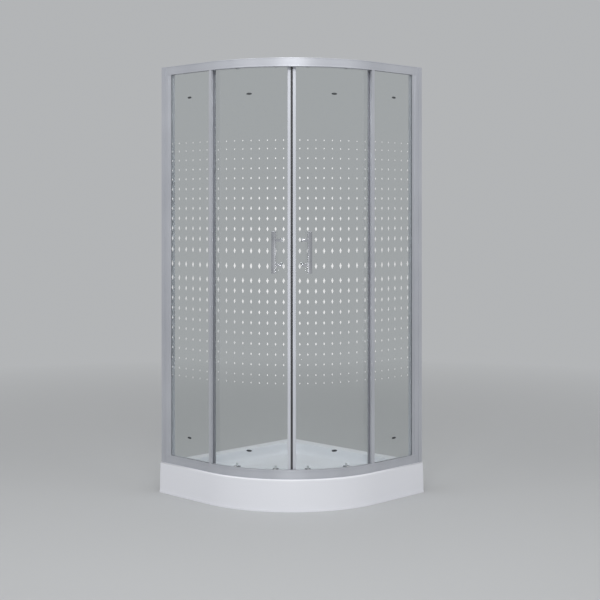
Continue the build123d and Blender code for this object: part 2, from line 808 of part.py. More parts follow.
with BuildPart() as handle_fixings:
    for z in handle_heights:
        cap_inset = glass_end + cap_gap
        cap = radial_disc(handle_angle, z, handle_cap_radius, cap_inset + handle_cap_width)
        extrude(cap, amount=handle_cap_width)
        screw = radial_disc(handle_angle, z, handle_screw_radius, cap_inset)
        extrude(screw, amount=cap_inset - post_foot + screw_bite)
save_pair(handle_fixings, "handle_fixings")

# Rubber stops in the rails, where the trailing wheels end their run
stop_plan = opened(trail_roller_angle, (wheel_start + flange_start) / 2)
stop_face = half + stop_plan[0] - wheel_radius - stop_gap
with BuildPart() as door_stops:
    for z in (top_rail_bottom + ledge_thickness, bottom_rail_top - ledge_thickness - stop_height):
        block = side_box(stop_face - stop_length, stop_face, track_start, ledge_end, z)
        extrude(block, amount=stop_height)
    mirror(about=diagonal)
save(door_stops, "door_stops")

# Base board and welded steel frame under the tray. The left tube has a gap for the waste pipe.
board_bottom = tray_underside - board_thickness
tube_bottom = board_bottom - tube_size
with BuildPart() as base_board:
    extrude(quadrant(board_inset, board_inset, board_bottom), amount=board_thickness)
    with BuildSketch(Plane.XY.offset(board_bottom)):
        Circle(drain_seat_radius + drain_clearance)
    extrude(amount=board_thickness, mode=Mode.SUBTRACT)
save(base_board, "base_board")

foot_places = [
    (frame_left, frame_left_front + foot_inset),
    (frame_left, frame_rear - foot_inset),
    (frame_right, frame_rear - foot_inset),
    (frame_right, frame_right_front + foot_inset),
    ((frame_left + frame_right) / 2, frame_front),
]


def square_tube(x, y, along, start, end):
    """A hollow tube along x or y between two ends, centred at x or y across."""
    turn = (1, 0, 0) if along == "x" else (0, 1, 0)
    across = (0, 1, 0) if along == "x" else (-1, 0, 0)
    middle = board_bottom - tube_size / 2
    origin = (start, y, middle) if along == "x" else (x, start, middle)
    with BuildSketch(Plane(origin=origin, x_dir=across, z_dir=turn)) as section:
        Rectangle(tube_size, tube_size)
        Rectangle(tube_size - 2 * tube_wall, tube_size - 2 * tube_wall, mode=Mode.SUBTRACT)
    return extrude(section.sketch, amount=end - start, mode=Mode.PRIVATE)


with BuildPart() as support_frame:
    add(square_tube(frame_left, 0, "y", frame_left_front, -pipe_gap / 2))
    add(square_tube(frame_left, 0, "y", pipe_gap / 2, frame_rear))
    add(square_tube(frame_right, 0, "y", frame_right_front, frame_rear))
    for y in (frame_front, frame_back):
        add(square_tube(0, y, "x", frame_left + tube_size / 2, frame_right - tube_size / 2))
    with BuildSketch(Plane.XY.offset(tube_bottom)):
        with Locations(*foot_places):
            Circle(foot_rod_radius + slide_fit)
    extrude(amount=tube_wall, mode=Mode.SUBTRACT)
save(support_frame, "support_frame")

rod_foot = foot_pad_height / 3
with BuildPart() as foot_rods:
    with BuildSketch(Plane.XY.offset(rod_foot)):
        with Locations(*foot_places):
            Circle(foot_rod_radius)
    extrude(amount=tube_bottom + foot_rod_reach - rod_foot)
save(foot_rods, "foot_rods")

with BuildPart() as foot_pads:
    with BuildSketch():
        with Locations(*foot_places):
            Circle(foot_pad_radius)
    extrude(amount=foot_pad_height, taper=foot_pad_draft)
    with BuildSketch(Plane.XY.offset(rod_foot)):
        with Locations(*foot_places):
            Circle(foot_rod_radius + slide_fit)
    extrude(amount=foot_pad_height, mode=Mode.SUBTRACT)
save(foot_pads, "foot_pads")

with BuildPart() as foot_nuts:
    with BuildSketch(Plane.XY.offset(tube_bottom - foot_nut_height)):
        with Locations(*foot_places):
            RegularPolygon(foot_nut_size / 2, 6, major_radius=False)
            Circle(foot_rod_radius + slide_fit, mode=Mode.SUBTRACT)
    extrude(amount=foot_nut_height)
save(foot_nuts, "foot_nuts")


# Waste: chrome flange in the tray, gasket, trap body with its outlet, lift-out cup and cover
def turned(points):
    """A solid turned about the drain's axis from points of radius and height."""
    with BuildSketch(Plane.XZ) as section:
        with BuildLine():
            Polyline(*points, close=True)
        make_face()
    return revolve(section.sketch, axis=Axis.Z, mode=Mode.PRIVATE)


flange_top = drain_seat + waste_flange_height
throat_bottom = tray_underside - throat_depth
lip_top = throat_bottom + throat_lip
throat_outer = waste_throat_radius + throat_wall
lip_radius = cup_radius + throat_lip_gap
with BuildPart() as waste_flange:
    add(turned([
        (lip_radius, throat_bottom),
        (throat_outer, throat_bottom),
        (throat_outer, drain_seat),
        (waste_flange_radius, drain_seat),
        (waste_flange_radius - flange_bevel, flange_top),
        (waste_throat_radius, flange_top),
        (waste_throat_radius, lip_top),
        (lip_radius, lip_top),
    ]))
save(waste_flange, "waste_flange")

body_top = tray_underside - gasket_thickness
with BuildPart() as waste_gasket:
    add(turned([
        (drain_hole_radius + drain_clearance, body_top),
        (waste_flange_radius, body_top),
        (waste_flange_radius, tray_underside),
        (drain_hole_radius + drain_clearance, tray_underside),
    ]))
save(waste_gasket, "waste_gasket")


def outlet_disc(start, radius):
    """A disc square to the outlet, which points to the left wall."""
    with BuildSketch(Plane(origin=(-start, 0, outlet_height), x_dir=(0, 1, 0), z_dir=(-1, 0, 0))) as disc:
        Circle(radius)
    return disc.sketch


neck_radius = throat_outer + slide_fit
with BuildPart() as waste_body:
    add(turned([
        (0, waste_bottom),
        (waste_body_radius, waste_bottom),
        (waste_body_radius, body_top - body_rim),
        (waste_flange_radius, body_top - body_rim),
        (waste_flange_radius, body_top),
        (neck_radius, body_top),
        (neck_radius, throat_bottom),
        (waste_body_radius - waste_wall, throat_bottom),
        (waste_body_radius - waste_wall, waste_bottom + waste_wall),
        (0, waste_bottom + waste_wall),
    ]))
    pipe_start = waste_body_radius - 2 * waste_wall
    for radius, end in ((outlet_collar_radius, outlet_collar_end), (outlet_radius, outlet_length)):
        extrude(outlet_disc(pipe_start, radius), amount=end - pipe_start)
    add(turned([
        (0, waste_bottom + waste_wall),
        (waste_body_radius - waste_wall, waste_bottom + waste_wall),
        (waste_body_radius - waste_wall, throat_bottom),
        (0, throat_bottom),
    ]), mode=Mode.SUBTRACT)
    bore = outlet_disc(pipe_start - 2 * waste_wall, outlet_radius - waste_wall)
    extrude(bore, amount=outlet_length, mode=Mode.SUBTRACT)
save(waste_body, "waste_body")

cup_seat = lip_top + running_gap
cup_bottom = waste_bottom + waste_wall + cup_lift
cup_brim_radius = waste_throat_radius - cup_brim_gap
with BuildPart() as drain_cup:
    add(turned([
        (0, cup_seat),
        (cup_radius - cup_wall, cup_seat),
        (cup_radius - cup_wall, cup_bottom),
        (cup_radius, cup_bottom),
        (cup_radius, cup_seat),
        (cup_brim_radius, cup_seat),
        (cup_brim_radius, cup_seat + cup_wall),
        (0, cup_seat + cup_wall),
    ]))
    with BuildSketch(Plane.XY.offset(cup_seat)):
        for ring_radius, count, hole_radius in grate_rings:
            with PolarLocations(ring_radius, count):
                Circle(hole_radius)
    extrude(amount=cup_wall, mode=Mode.SUBTRACT)
save(drain_cup, "drain_cup")

cover_bottom = flange_top + cover_gap
disc_bottom = cover_bottom + cover_rim_depth
with BuildPart() as drain_cover:
    with BuildSketch(Plane.XZ):
        with BuildLine():
            Polyline(
                (0, cover_bottom + cover_rise),
                (0, disc_bottom),
                (cover_radius - cover_rim_width, disc_bottom),
                (cover_radius - cover_rim_width, cover_bottom),
                (cover_radius, cover_bottom),
            )
            dome_radius = (cover_radius**2 + cover_rise**2) / (2 * cover_rise)
            RadiusArc((0, cover_bottom + cover_rise), (cover_radius, cover_bottom), dome_radius)
        make_face()
    revolve(axis=Axis.Z)
    with BuildSketch(Plane.XY.offset(cup_seat + cup_wall)):
        Circle(cover_stem_radius)
    extrude(amount=disc_bottom + cover_weld - cup_seat - cup_wall)
    with BuildSketch(Plane.XY.offset(flange_top + running_gap)):
        with PolarLocations(cover_foot_place, 4, start_angle=45):
            Circle(cover_foot_radius)
    extrude(amount=disc_bottom + cover_weld - flange_top - running_gap)
save(drain_cover, "drain_cover")
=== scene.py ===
import bpy
import bmesh
import json
from math import asin, cos, degrees, pi, radians, sin
from mathutils import Matrix, Vector


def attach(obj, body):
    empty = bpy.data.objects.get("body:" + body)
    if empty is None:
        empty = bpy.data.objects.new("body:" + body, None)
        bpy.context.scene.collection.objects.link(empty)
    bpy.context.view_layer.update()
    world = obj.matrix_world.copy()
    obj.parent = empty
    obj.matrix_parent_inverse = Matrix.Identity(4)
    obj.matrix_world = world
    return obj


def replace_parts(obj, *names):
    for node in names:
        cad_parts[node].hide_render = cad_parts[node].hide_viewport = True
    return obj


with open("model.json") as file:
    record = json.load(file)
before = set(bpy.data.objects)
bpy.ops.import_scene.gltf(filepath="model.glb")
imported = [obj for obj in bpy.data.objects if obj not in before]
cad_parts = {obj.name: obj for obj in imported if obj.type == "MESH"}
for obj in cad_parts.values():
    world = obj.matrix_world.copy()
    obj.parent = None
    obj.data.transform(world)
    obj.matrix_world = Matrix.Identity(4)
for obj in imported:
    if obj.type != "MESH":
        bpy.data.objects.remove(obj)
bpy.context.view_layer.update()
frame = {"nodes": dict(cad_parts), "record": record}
nodes = frame["nodes"]
scene = bpy.context.scene
sides = ("left", "right")
print("frame loaded,", len(nodes), "nodes")

# The enclosure in plan, in metres and degrees. An inset is a distance in from the tray's foot line, and the
# faces are the insets of the glass on its outer side. Angles run round the curve from the end of the left
# straight side, so that the doors meet halfway.
plan = {
    "half": 0.45,
    "radius": 0.55,
    "centre": Vector((-0.1, 0.1, 0)),
    "quarter": 90,
    "meeting": 45,
    "paneFace": 0.0174,
    "doorFace": 0.0465,
    "rollerAngles": (14.5, 36.5),
}
# swaps the left half and the right half, which mirror each other in the plane through the corner
otherHalf = Matrix(((0, -1, 0, 0), (-1, 0, 0, 0), (0, 0, 1, 0), (0, 0, 0, 1)))
# which body each node rides on
bodyOf = {n: body for body, group in frame["record"]["behaviour"]["bodies"].items() for n in group}


def onCurve(angle, inset, z):
    # a point of the curved front
    r = plan["radius"] - inset
    a = radians(angle)
    return plan["centre"] + Vector((r * sin(a), -r * cos(a), z))


def facingOut(angle, place):
    # local x runs round the curve, y up and z outwards
    a = radians(angle)
    turn = Matrix(((cos(a), 0, sin(a)), (sin(a), 0, -cos(a)), (0, 1, 0)))
    return Matrix.Translation(place) @ turn.to_4x4()


def putOnSide(bm, side):
    # pieces are made for the left side, and the right ones mirror them
    if side == "right":
        bmesh.ops.transform(bm, matrix=otherHalf, verts=bm.verts)
        bmesh.ops.reverse_faces(bm, faces=bm.faces)


def makePiece(name, bm, finish, node, sharp=35):
    # turns the bmesh into an object on its node's body. Edges that bend by more than sharp degrees stay crisp.
    mesh = bpy.data.meshes.new(name)
    bm.to_mesh(mesh)
    bm.free()
    for face in mesh.polygons:
        face.use_smooth = True
    mesh.set_sharp_from_angle(angle=radians(sharp))
    mesh.materials.append(finish)
    piece = bpy.data.objects.new(name, mesh)
    scene.collection.objects.link(piece)
    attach(piece, bodyOf[node])
    return piece


# Camera, level, a little above the middle of the doors and square to the corner of the room. Its place is in
# metres, its lens and sensor in millimetres, and its shift in picture widths.
view = {
    "place": (4.28154, -4.28154, 1.35136),
    "heading": 45,
    "lens": 75.444,
    "sensor": 36,
    "shift": (0.01381, -0.1475),
    "farthest": 200,
}


def addCamera():
    camera = bpy.data.objects.new("camera", bpy.data.cameras.new("camera"))
    scene.collection.objects.link(camera)
    camera.location = view["place"]
    camera.rotation_euler = (radians(90), 0, radians(view["heading"]))
    camera.data.lens = view["lens"]
    camera.data.sensor_width = view["sensor"]
    camera.data.shift_x, camera.data.shift_y = view["shift"]
    camera.data.clip_end = view["farthest"]
    scene.camera = camera


addCamera()
print("camera placed")


# Finishes: each one starts from this, with its pattern on the object's own coordinates
def newFinish(name, colour, roughness, metallic=0.0, **sockets):
    finish = bpy.data.materials.new(name)
    finish.use_nodes = True
    shader = finish.node_tree.nodes["Principled BSDF"]
    shader.inputs["Base Color"].default_value = (*colour, 1)
    shader.inputs["Roughness"].default_value = roughness
    shader.inputs["Metallic"].default_value = metallic
    for socket, value in sockets.items():
        shader.inputs[socket.replace("_", " ")].default_value = value
    return finish, finish.node_tree, shader


def noise(tree, stretch, detail=3.0, rough=0.5):
    # stretch gives how many waves of the pattern a metre holds along x, y and z
    coords = tree.nodes.new("ShaderNodeTexCoord")
    mapping = tree.nodes.new("ShaderNodeMapping")
    mapping.inputs["Scale"].default_value = stretch
    pattern = tree.nodes.new("ShaderNodeTexNoise")
    pattern.inputs["Scale"].default_value = 1.0
    pattern.inputs["Detail"].default_value = detail
    pattern.inputs["Roughness"].default_value = rough
    tree.links.new(coords.outputs["Object"], mapping.inputs["Vector"])
    tree.links.new(mapping.outputs["Vector"], pattern.inputs["Vector"])
    return pattern.outputs["Fac"]


def spread(tree, factor, low, high, start=0.3, end=0.7):
    # a noise's middle range spread over low to high
    ramp = tree.nodes.new("ShaderNodeMapRange")
    ramp.inputs["From Min"].default_value = start
    ramp.inputs["From Max"].default_value = end
    ramp.inputs["To Min"].default_value = low
    ramp.inputs["To Max"].default_value = high
    tree.links.new(factor, ramp.inputs["Value"])
    return ramp.outputs["Result"]


def tint(tree, shader, factor, dark, light):
    # the factor goes from the dark colour at 0 to the light one at 1
    mix = tree.nodes.new("ShaderNodeMix")
    mix.data_type = "RGBA"
    mix.inputs["A"].default_value = (*dark, 1)
    mix.inputs["B"].default_value = (*light, 1)
    tree.links.new(factor, mix.inputs["Factor"])
    tree.links.new(mix.outputs["Result"], shader.inputs["Base Color"])


def relief(tree, shader, factor, depth, strength=1.0):
    # depth in metres between the pattern's low and high
    bump = tree.nodes.new("ShaderNodeBump")
    bump.inputs["Distance"].default_value = depth
    bump.inputs["Strength"].default_value = strength
    tree.links.new(factor, bump.inputs["Height"])
    tree.links.new(bump.outputs["Normal"], shader.inputs["Normal"])


def satinAluminium(name, grain):
    # anodised bar: fine lines along the bar, and slow changes of tone from the bath
    finish, tree, shader = newFinish(name, (0.53, 0.545, 0.59), 0.38, 0.45)
    lines = noise(tree, grain, 4.0, 0.6)
    cloud = noise(tree, (5, 5, 3), 2.0)
    tint(tree, shader, spread(tree, cloud, 0, 1), (0.50, 0.515, 0.56), (0.57, 0.585, 0.63))
    tree.links.new(spread(tree, lines, 0.33, 0.44), shader.inputs["Roughness"])
    relief(tree, shader, lines, 0.00002)
    return finish


def trayAcrylic():
    # white sanitary acrylic, with slow changes of tone and a faint skin
    finish, tree, shader = newFinish("trayAcrylic", (0.80, 0.81, 0.86), 0.3)
    cloud = noise(tree, (3, 3, 3), 1.0)
    tint(tree, shader, spread(tree, cloud, 0, 1, 0, 1), (0.785, 0.795, 0.845), (0.815, 0.825, 0.87))
    skin = noise(tree, (350, 350, 350), 1.0)
    tree.links.new(spread(tree, cloud, 0.29, 0.32, 0, 1), shader.inputs["Roughness"])
    relief(tree, shader, skin, 0.000001)
    return finish


def clearGlass():
    # tempered glass: a faint wave from the rollers of the furnace. Light from the lamps goes through it.
    grey = (0.77, 0.795, 0.795)
    finish, tree, shader = newFinish("clearGlass", grey, 0.0, Transmission_Weight=1.0, IOR=1.5)
    wave = noise(tree, (2.5, 2.5, 7), 1.0)
    relief(tree, shader, wave, 0.00006)
    film = noise(tree, (9, 9, 4), 3.0)
    tree.links.new(spread(tree, film, 0.0, 0.03), shader.inputs["Roughness"])
    through = tree.nodes.new("ShaderNodeBsdfTransparent")
    through.inputs["Color"].default_value = (*grey, 1)
    path = tree.nodes.new("ShaderNodeLightPath")
    mix = tree.nodes.new("ShaderNodeMixShader")
    tree.links.new(path.outputs["Is Shadow Ray"], mix.inputs["Fac"])
    tree.links.new(shader.outputs["BSDF"], mix.inputs[1])
    tree.links.new(through.outputs["BSDF"], mix.inputs[2])
    tree.links.new(mix.outputs["Shader"], tree.nodes["Material Output"].inputs["Surface"])
    return finish


def plasticFinish(name, colour, roughness, bumpDepth=0.00003, grain=400, **sockets):
    # moulded or coated: a fine grain of so many waves a metre, and clouds a little darker than the colour
    finish, tree, shader = newFinish(name, colour, roughness, **sockets)
    grains = noise(tree, (grain, grain, grain), 3.0)
    cloud = noise(tree, (12, 12, 12), 2.0)
    darker = tuple(0.88 * c for c in colour)
    tint(tree, shader, spread(tree, cloud, 0, 1), darker, colour)
    tree.links.new(spread(tree, grains, roughness * 0.85, roughness * 1.2), shader.inputs["Roughness"])
    relief(tree, shader, grains, bumpDepth)
    return finish


def polishedChrome():
    # bright plating with smudges from hands and water
    finish, tree, shader = newFinish("polishedChrome", (0.80, 0.81, 0.83), 0.07, 1.0)
    smudge = noise(tree, (30, 30, 30), 4.0, 0.6)
    tint(tree, shader, spread(tree, smudge, 0, 1), (0.76, 0.77, 0.79), (0.83, 0.84, 0.86))
    tree.links.new(spread(tree, smudge, 0.04, 0.12), shader.inputs["Roughness"])
    relief(tree, shader, smudge, 0.00001)
    return finish


def satinChrome():
    # brushed upright, so that its fine lines run along z
    finish, tree, shader = newFinish("satinChrome", (0.50, 0.51, 0.54), 0.2, 1.0)
    lines = noise(tree, (900, 900, 12), 3.0, 0.6)
    cloud = noise(tree, (25, 25, 25), 2.0)
    tint(tree, shader, spread(tree, cloud, 0, 1), (0.45, 0.46, 0.49), (0.56, 0.57, 0.60))
    tree.links.new(spread(tree, lines, 0.16, 0.26), shader.inputs["Roughness"])
    relief(tree, shader, lines, 0.00001)
    return finish


def zincSteel():
    # zinc plate with its mottled spangle
    finish, tree, shader = newFinish("zincSteel", (0.55, 0.55, 0.56), 0.35, 1.0)
    spangle = noise(tree, (160, 160, 160), 2.0, 0.7)
    tint(tree, shader, spread(tree, spangle, 0, 1), (0.46, 0.46, 0.47), (0.64, 0.64, 0.65))
    tree.links.new(spread(tree, spangle, 0.28, 0.45), shader.inputs["Roughness"])
    relief(tree, shader, spangle, 0.00003)
    return finish


def chipboard():
    # pressed flakes with a darker binder between them
    finish, tree, shader = newFinish("chipboard", (0.55, 0.42, 0.28), 0.75)
    coords = tree.nodes.new("ShaderNodeTexCoord")
    flakes = tree.nodes.new("ShaderNodeTexVoronoi")
    flakes.inputs["Scale"].default_value = 190
    tree.links.new(coords.outputs["Object"], flakes.inputs["Vector"])
    tint(tree, shader, flakes.outputs["Distance"], (0.60, 0.47, 0.32), (0.40, 0.29, 0.18))
    relief(tree, shader, flakes.outputs["Distance"], 0.0003, 0.6)
    return finish


def printedWhite():
    # fired enamel print, slightly grainy
    finish, tree, shader = newFinish("printedWhite", (0.92, 0.92, 0.92), 0.45)
    grains = noise(tree, (900, 900, 900), 2.0)
    tint(tree, shader, spread(tree, grains, 0, 1), (0.88, 0.88, 0.88), (0.95, 0.95, 0.95))
    relief(tree, shader, grains, 0.00003)
    return finish


finishes = {
    "tray": trayAcrylic(),
    "upright": satinAluminium("satinAluminiumUpright", (1100, 1100, 3)),
    "bent": satinAluminium("satinAluminiumBent", (4, 4, 1100)),
    "glass": clearGlass(),
    "chrome": polishedChrome(),
    "satinChrome": satinChrome(),
    "zinc": zincSteel(),
    "board": chipboard(),
    "print": printedWhite(),
    "ink": plasticFinish("darkInk", (0.05, 0.055, 0.06), 0.5),
    "blackRubber": plasticFinish("blackRubber", (0.018, 0.018, 0.02), 0.5),
    "blackPlastic": plasticFinish("blackPlastic", (0.03, 0.03, 0.032), 0.42),
    "greyPlastic": plasticFinish("greyPlastic", (0.20, 0.205, 0.215), 0.4),
    "palePlastic": plasticFinish("palePlastic", (0.62, 0.63, 0.66), 0.36),
    "whiteNylon": plasticFinish("whiteNylon", (0.78, 0.78, 0.76), 0.36),
    "clearSeal": plasticFinish("clearSeal", (0.78, 0.80, 0.80), 0.28, Transmission_Weight=0.6, IOR=1.45),
    "frameCoat": plasticFinish("frameCoat", (0.06, 0.065, 0.07), 0.4, 0.0001, 260),
}
print("finishes made,", len(finishes))


# Finish of each node and the width in metres by which its edges are eased. A width of 0 leaves them as the
# solid has them. The rails and the springs are made anew further down.
easing = {
    "shower_tray": ("tray", 0),
    "rail_end_blocks": ("greyPlastic", 0.0006),
    "glazing_gaskets": ("blackRubber", 0.0002),
    "door_stops": ("blackRubber", 0.0008),
    "frame_screws": ("zinc", 0.0004),
    "base_board": ("board", 0.0006),
    "support_frame": ("frameCoat", 0.0012),
    "foot_rods": ("zinc", 0.0006),
    "foot_pads": ("blackPlastic", 0.0008),
    "foot_nuts": ("zinc", 0.0008),
    "waste_flange": ("chrome", 0.0004),
    "waste_gasket": ("blackRubber", 0.0003),
    "waste_body": ("whiteNylon", 0.0008),
    "drain_cup": ("whiteNylon", 0.0003),
    "drain_cover": ("chrome", 0.0004),
}
sidePieces = {
    "wall_channel": ("upright", 0.0004),
    "jamb": ("upright", 0.0006),
    "fixed_glass": ("glass", 0.0005),
    "pane_upright": ("upright", 0.0005),
    "door_glass": ("glass", 0.0005),
    "door_stile": ("upright", 0.0005),
    "magnetic_seal": ("blackRubber", 0.0004),
    "trailing_profile": ("upright", 0.0005),
    "overlap_seal": ("clearSeal", 0.0004),
    "bottom_sweep": ("clearSeal", 0.0003),
    "top_roller_carriers": ("chrome", 0.0008),
    "lower_roller_housings": ("satinChrome", 0.0010),
    "handle": ("satinChrome", 0.0012),
    "handle_fixings": ("chrome", 0.0010),
    "leading_top_wheel": ("whiteNylon", 0.0002),
    "trailing_top_wheel": ("whiteNylon", 0.0002),
    "leading_lower_wheel": ("whiteNylon", 0.0002),
    "trailing_lower_wheel": ("whiteNylon", 0.0002),
    "leading_release_slider": ("palePlastic", 0.0004),
    "trailing_release_slider": ("palePlastic", 0.0004),
}
easing.update({side + "_" + name: how for side in sides for name, how in sidePieces.items()})


# How a solid's facets are joined again and its edges eased: distances in metres, angles in degrees
joining = {
    "merge": 0.00001,
    "flat": 0.4,
    "edge": 35,
    "segments": 2,
}


def easedCopy(node, finish, width):
    bm = bmesh.new()
    bm.from_mesh(nodes[node].data)
    bmesh.ops.remove_doubles(bm, verts=bm.verts, dist=joining["merge"])
    bmesh.ops.dissolve_limit(bm, angle_limit=radians(joining["flat"]), verts=bm.verts, edges=bm.edges)
    piece = makePiece(node + "_eased", bm, finishes[finish], node)
    if width:
        bevel = piece.modifiers.new("easedEdges", "BEVEL")
        bevel.width = width
        bevel.segments = joining["segments"]
        bevel.limit_method = "ANGLE"
        bevel.angle_limit = radians(joining["edge"])
        bevel.harden_normals = True
    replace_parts(piece, node)
    return piece


# The tray's skirt leans in a little towards its rim, and its long facets are shaded as one smooth sweep. Its
# faces lie between foot and head, and no deeper in than depth.
skirt = {
    "foot": 0.0095,
    "head": 0.1365,
    "depth": 0.0075,
    "lean": 0.0276,
}


def skirtward(point):
    # the way out to the skirt from the middle of the curve, level
    place = point - plan["centre"]
    return Vector((max(place.x, 0), min(place.y, 0), 0))


def smoothSkirt(piece):
    # faces off the skirt get a zero normal, which leaves them as they are
    mesh = piece.data
    shading = [Vector((0, 0, 0))] * len(mesh.loops)
    for face in mesh.polygons:
        inset = plan["radius"] - skirtward(face.center).length
        if not skirt["foot"] < face.center.z < skirt["head"] or inset > skirt["depth"]:
            continue
        for corner in face.loop_indices:
            out = skirtward(mesh.vertices[mesh.loops[corner].vertex_index].co).normalized()
            shading[corner] = Vector((out.x, out.y, skirt["lean"])).normalized()
    mesh.normals_split_custom_set(shading)


for node, (finish, width) in easing.items():
    piece = easedCopy(node, finish, width)
    if node == "shower_tray":
        smoothSkirt(piece)
print("edges eased on", len(easing), "nodes")


# Rails: one section, swept along the left side, round the curve and along the right side. It stands up at
# the bottom and is turned over at the top. Points are insets and heights in millimetres, and the rounded
# ones are the corners that show. Bases give a rail's height in metres and which way up it is.
rail = {
    "section": (
        (14, 0), (52, 0), (52, 2), (25, 2), (25, 38.2), (37, 38.2), (37, 40), (23.6, 40), (23.6, 2),
        (16.2, 2), (16.2, 40), (14, 40), (14, 33), (15.2, 33), (15.2, 31.6), (14.8, 31.6), (14.8, 4.4),
        (15.2, 4.4), (15.2, 3), (14, 3),
    ),
    "rounded": ((14, 0), (52, 0), (52, 2), (37, 38.2), (37, 40), (14, 40), (14, 33)),
    "round": 0.0006,
    "roundSegments": 3,
    "sharp": 32,
    "endX": -0.414,
    "steps": 90,
    "bases": {"bottom_rail": (0.145, 1), "top_rail": (2.045, -1)},
}


def drawnOut(bm, faces, shift):
    # draws the faces out by the shift and gives the faces at the new end
    new = bmesh.ops.extrude_face_region(bm, geom=faces)["geom"]
    bmesh.ops.translate(bm, verts=[v for v in new if isinstance(v, bmesh.types.BMVert)], vec=shift)
    return [f for f in new if isinstance(f, bmesh.types.BMFace)]


def sweptRail(node):
    base, up = rail["bases"][node]
    bm = bmesh.new()
    corners = {}
    for inset, height in rail["section"]:
        place = (rail["endX"], -plan["half"] + inset / 1000, base + up * height / 1000)
        corners[(inset, height)] = bm.verts.new(place)
    bm.faces.new(corners.values())
    bmesh.ops.bevel(
        bm, geom=[corners[point] for point in rail["rounded"]], offset=rail["round"],
        segments=rail["roundSegments"], profile=0.5, material=-1, affect="VERTICES",
    )
    run = plan["centre"].x - rail["endX"]
    end = drawnOut(bm, bm.faces[:], (run, 0, 0))
    bend = bmesh.ops.spin(
        bm, geom=end, cent=plan["centre"], axis=(0, 0, 1), angle=radians(plan["quarter"]),
        steps=rail["steps"], use_duplicate=False,
    )["geom_last"]
    drawnOut(bm, [f for f in bend if isinstance(f, bmesh.types.BMFace)], (0, run, 0))
    bmesh.ops.recalc_face_normals(bm, faces=bm.faces)
    piece = makePiece(node + "_swept", bm, finishes["bent"], node, rail["sharp"])
    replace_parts(piece, node)


for node in rail["bases"]:
    sweptRail(node)
print("rails swept")


# Springs of the lower rollers, coiled round an upright axis in each slider, in metres
spring = {
    "radius": 0.0019,
    "wire": 0.0004,
    "wireSides": 8,
    "turns": 5,
    "stepsPerTurn": 16,
    "sharp": 60,
    "foot": 0.16155,
    "height": 0.0097,
    "inset": 0.05895,
}


def addSprings(side):
    bm = bmesh.new()
    upright = Matrix.Rotation(radians(90), 4, "X")
    steps = spring["stepsPerTurn"] * spring["turns"]
    for angle in plan["rollerAngles"]:
        place = onCurve(angle, spring["inset"], spring["foot"])
        start = Matrix.Translation(place + Vector((spring["radius"], 0, 0))) @ upright
        ring = bmesh.ops.create_circle(
            bm, segments=spring["wireSides"], radius=spring["wire"], matrix=start,
        )["verts"]
        edges = list({edge for v in ring for edge in v.link_edges})
        bmesh.ops.spin(
            bm, geom=ring + edges, cent=place, axis=(0, 0, 1), dvec=(0, 0, spring["height"] / steps),
            angle=2 * pi * spring["turns"], steps=steps, use_duplicate=False,
        )
    bmesh.ops.holes_fill(bm, edges=bm.edges, sides=spring["wireSides"])
    bmesh.ops.recalc_face_normals(bm, faces=bm.faces)
    putOnSide(bm, side)
    node = side + "_roller_springs"
    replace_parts(makePiece(node + "_coiled", bm, finishes["zinc"], node, spring["sharp"]), node)


for side in sides:
    addSprings(side)
print("springs coiled")


# Printed diamonds, tall and narrow, in metres. Sizes are width and height, and fall to the small size over a
# reach of so many rows from the largest. Columns start next to the upright on a pane and at the trailing edge
# on a door, where the first is counted from the line on which the doors meet.
diamonds = {
    "rows": (
        1.675, 1.637, 1.593, 1.548, 1.504, 1.457, 1.412, 1.366, 1.319, 1.272, 1.224, 1.172,
        1.103, 1.037, 0.989, 0.941, 0.893, 0.845, 0.798, 0.750, 0.703, 0.656, 0.609, 0.572,
    ),
    "largest": 12,
    "reach": 12,
    "smallSize": (0.0055, 0.008),
    "growth": (0.0065, 0.020),
    "fade": (1.2, 1.4),
    "thickness": 0.00012,
    "lift": 0.00006,
    "sharp": 20,
    "paneColumns": 6,
    "paneFirst": {"left": 0.0228, "right": 0.0160},
    "paneStep": {"left": 0.0500, "right": 0.0465},
    "doorColumns": 9,
    "doorFirst": 0.3401,
    "doorStep": (0.0394, 0.00021),
}


def diamondSize(row):
    away = abs(row - diamonds["largest"]) / diamonds["reach"]
    parts = zip(diamonds["smallSize"], diamonds["growth"], diamonds["fade"])
    return [small + growth * (1 - away) ** fade for small, growth, fade in parts]


def addDiamond(bm, place, row):
    width, height = diamondSize(row)
    shape = place @ Matrix.Diagonal((width / 2, height / 2, 1, 1))
    bmesh.ops.create_circle(bm, cap_ends=True, segments=4, radius=1, matrix=shape)


def addPrint(side, node, spots):
    bm = bmesh.new()
    for row, z in enumerate(diamonds["rows"]):
        for angle, spot in spots:
            addDiamond(bm, facingOut(angle, Vector((spot.x, spot.y, z))), row)
    bmesh.ops.solidify(bm, geom=bm.faces[:], thickness=diamonds["thickness"])
    putOnSide(bm, side)
    makePiece(side + "_" + node + "_print", bm, finishes["print"], side + "_" + node, diamonds["sharp"])


def paneSpots(side):
    first, step = diamonds["paneFirst"][side], diamonds["paneStep"][side]
    y = -plan["half"] + plan["paneFace"] - diamonds["lift"]
    columns = range(diamonds["paneColumns"])
    return [(0, Vector((plan["centre"].x - first - column * step, y, 0))) for column in columns]


def doorSpots():
    step, shrink = diamonds["doorStep"]
    inset = plan["doorFace"] - diamonds["lift"]
    spots = []
    for column in range(diamonds["doorColumns"]):
        across = diamonds["doorFirst"] - step * column + shrink * column * (column - 1)
        angle = plan["meeting"] - degrees(asin(across / (plan["radius"] - inset)))
        spots.append((angle, onCurve(angle, inset, 0)))
    return spots


for side in sides:
    addPrint(side, "fixed_glass", paneSpots(side))
    addPrint(side, "door_glass", doorSpots())
print("diamonds printed on the four panes")


